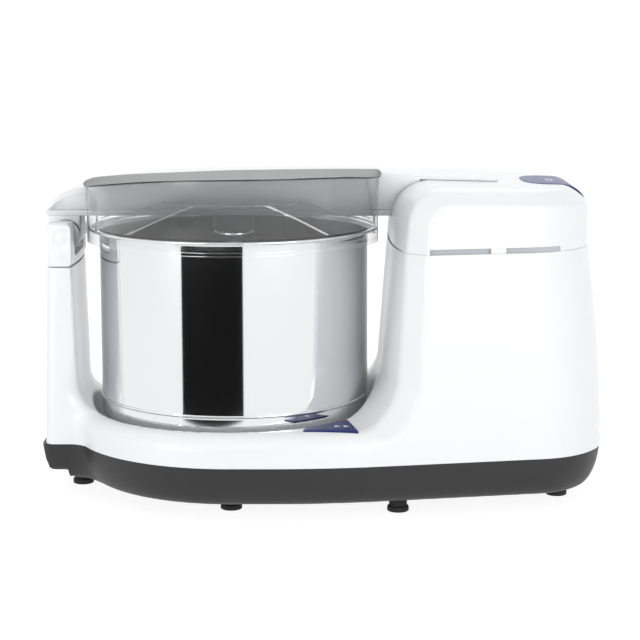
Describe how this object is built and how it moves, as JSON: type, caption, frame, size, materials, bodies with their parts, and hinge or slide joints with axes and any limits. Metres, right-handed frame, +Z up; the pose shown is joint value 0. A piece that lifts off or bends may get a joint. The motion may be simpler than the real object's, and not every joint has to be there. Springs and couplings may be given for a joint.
{
  "type": "wet grinder",
  "caption": "Table-top wet grinder: steel drum with conical stones turned by a belt and motor, smoked lid on a tilting arm, white housing.",
  "frame": {"origin": "under the middle of the object, on the plane of the feet", "axes": "+X towards the motor tower, +Y towards the back, +Z up"},
  "size_m": [0.6058, 0.352, 0.3556],
  "materials": {
    "white_plastic": "glossy white moulded plastic",
    "shade_plastic": "light grey moulded plastic",
    "dark_plastic": "satin dark grey moulded plastic",
    "rubber": "matt black rubber",
    "stainless": "mirror polished stainless steel",
    "steel": "turned steel",
    "iron": "cast or laminated iron",
    "alloy": "die-cast aluminium",
    "grey_plastic": "mid grey moulded plastic",
    "smoked_clear": "smoked clear moulded plastic",
    "granite": "ground black granite",
    "blue_plastic": "navy blue moulded plastic",
    "copper": "varnished copper windings",
    "board": "green circuit board"
  },
  "bodies": {
    "housing": {"main_housing": "white_plastic", "base_pan": "dark_plastic", "tower_cover": "white_plastic", "slot_liner": "shade_plastic", "pillar_head": "white_plastic", "hinge_panel_front": "white_plastic", "hinge_panel_rear": "white_plastic", "hinge_pin": "steel", "mains_gland": "rubber", "foot_centre_front": "rubber", "foot_centre_rear": "rubber", "foot_tower_front": "rubber", "foot_tower_rear": "rubber", "foot_corner_front": "rubber", "foot_corner_rear": "rubber", "foot_pillar": "rubber", "push_switch": "dark_plastic", "roller_holder": "grey_plastic", "roller_axle_1": "steel", "roller_axle_2": "steel", "roller_axle_3": "steel", "bearing_housing": "iron", "spindle_bearing_lower": "steel", "spindle_bearing_upper": "steel", "drive_belt": "rubber", "motor_plate": "steel", "motor_stator": "iron", "winding_lower": "copper", "winding_upper": "copper", "motor_cap_lower": "alloy", "motor_cap_upper": "alloy", "motor_bearing_lower": "steel", "motor_bearing_upper": "steel", "run_capacitor": "grey_plastic", "control_board": "board"},
    "drum": {"drum": "stainless", "drum_base_cup": "grey_plastic", "base_stone": "granite", "centre_post": "stainless", "drive_coupling": "iron", "drum_spindle": "steel", "drum_pulley": "alloy"},
    "motor": {"motor_rotor": "iron", "motor_pulley": "steel", "cooling_fan": "dark_plastic"},
    "roller_1": {"roller_stone_1": "granite"},
    "roller_2": {"roller_stone_2": "granite"},
    "roller_3": {"roller_stone_3": "granite"},
    "arm": {"arm_frame": "alloy", "arm_tray": "white_plastic", "arm_cover": "white_plastic", "lid_front": "smoked_clear", "lid_rear": "smoked_clear", "splash_guard_front": "smoked_clear", "splash_guard_rear": "smoked_clear", "pressure_boss": "grey_plastic", "boss_ring": "stainless"},
    "plunger": {"boss_plunger": "steel"},
    "power_button": {"power_pad": "blue_plastic"},
    "release_button": {"drum_release_key": "blue_plastic"}
  },
  "joints": [
    {"name": "drum_spin", "type": "hinge", "parent": "housing", "child": "drum", "pos_m": [-0.09615, 0, 0.078], "axis": [0, 0, 1], "continuous": true},
    {"name": "motor_spin", "type": "hinge", "parent": "housing", "child": "motor", "pos_m": [0.18785, 0, 0.13], "axis": [0, 0, 1], "continuous": true},
    {"name": "roller_1_spin", "type": "hinge", "parent": "housing", "child": "roller_1", "pos_m": [-0.09615, 0, 0.1083], "axis": [0, -0.891, 0.454], "continuous": true},
    {"name": "roller_2_spin", "type": "hinge", "parent": "housing", "child": "roller_2", "pos_m": [-0.09615, 0, 0.1083], "axis": [0.7716, 0.4455, 0.454], "continuous": true},
    {"name": "roller_3_spin", "type": "hinge", "parent": "housing", "child": "roller_3", "pos_m": [-0.09615, 0, 0.1083], "axis": [-0.7716, 0.4455, 0.454], "continuous": true},
    {"name": "arm_tilt", "type": "hinge", "parent": "housing", "child": "arm", "pos_m": [-0.27715, 0, 0.2835], "axis": [0, -1, 0], "range_deg": [0, 75]},
    {"name": "boss_press", "type": "slide", "parent": "arm", "child": "plunger", "axis": [0, 0, 1], "range_m": [0, 0.006], "stiffness_N_per_m": 800, "springref_m": -0.005},
    {"name": "power_press", "type": "slide", "parent": "housing", "child": "power_button", "axis": [0, 0, -1], "range_m": [0, 0.0015], "stiffness_N_per_m": 600, "springref_m": -0.002},
    {"name": "release_press", "type": "slide", "parent": "housing", "child": "release_button", "axis": [0, 0, -1], "range_m": [0, 0.003], "stiffness_N_per_m": 500, "springref_m": -0.002}
  ],
  "couplings": [
    {"joint": "motor_spin", "follows": "drum_spin", "ratio": 9},
    {"joint": "roller_1_spin", "follows": "drum_spin", "ratio": 2.2027},
    {"joint": "roller_2_spin", "follows": "drum_spin", "ratio": 2.2027},
    {"joint": "roller_3_spin", "follows": "drum_spin", "ratio": 2.2027}
  ]
}
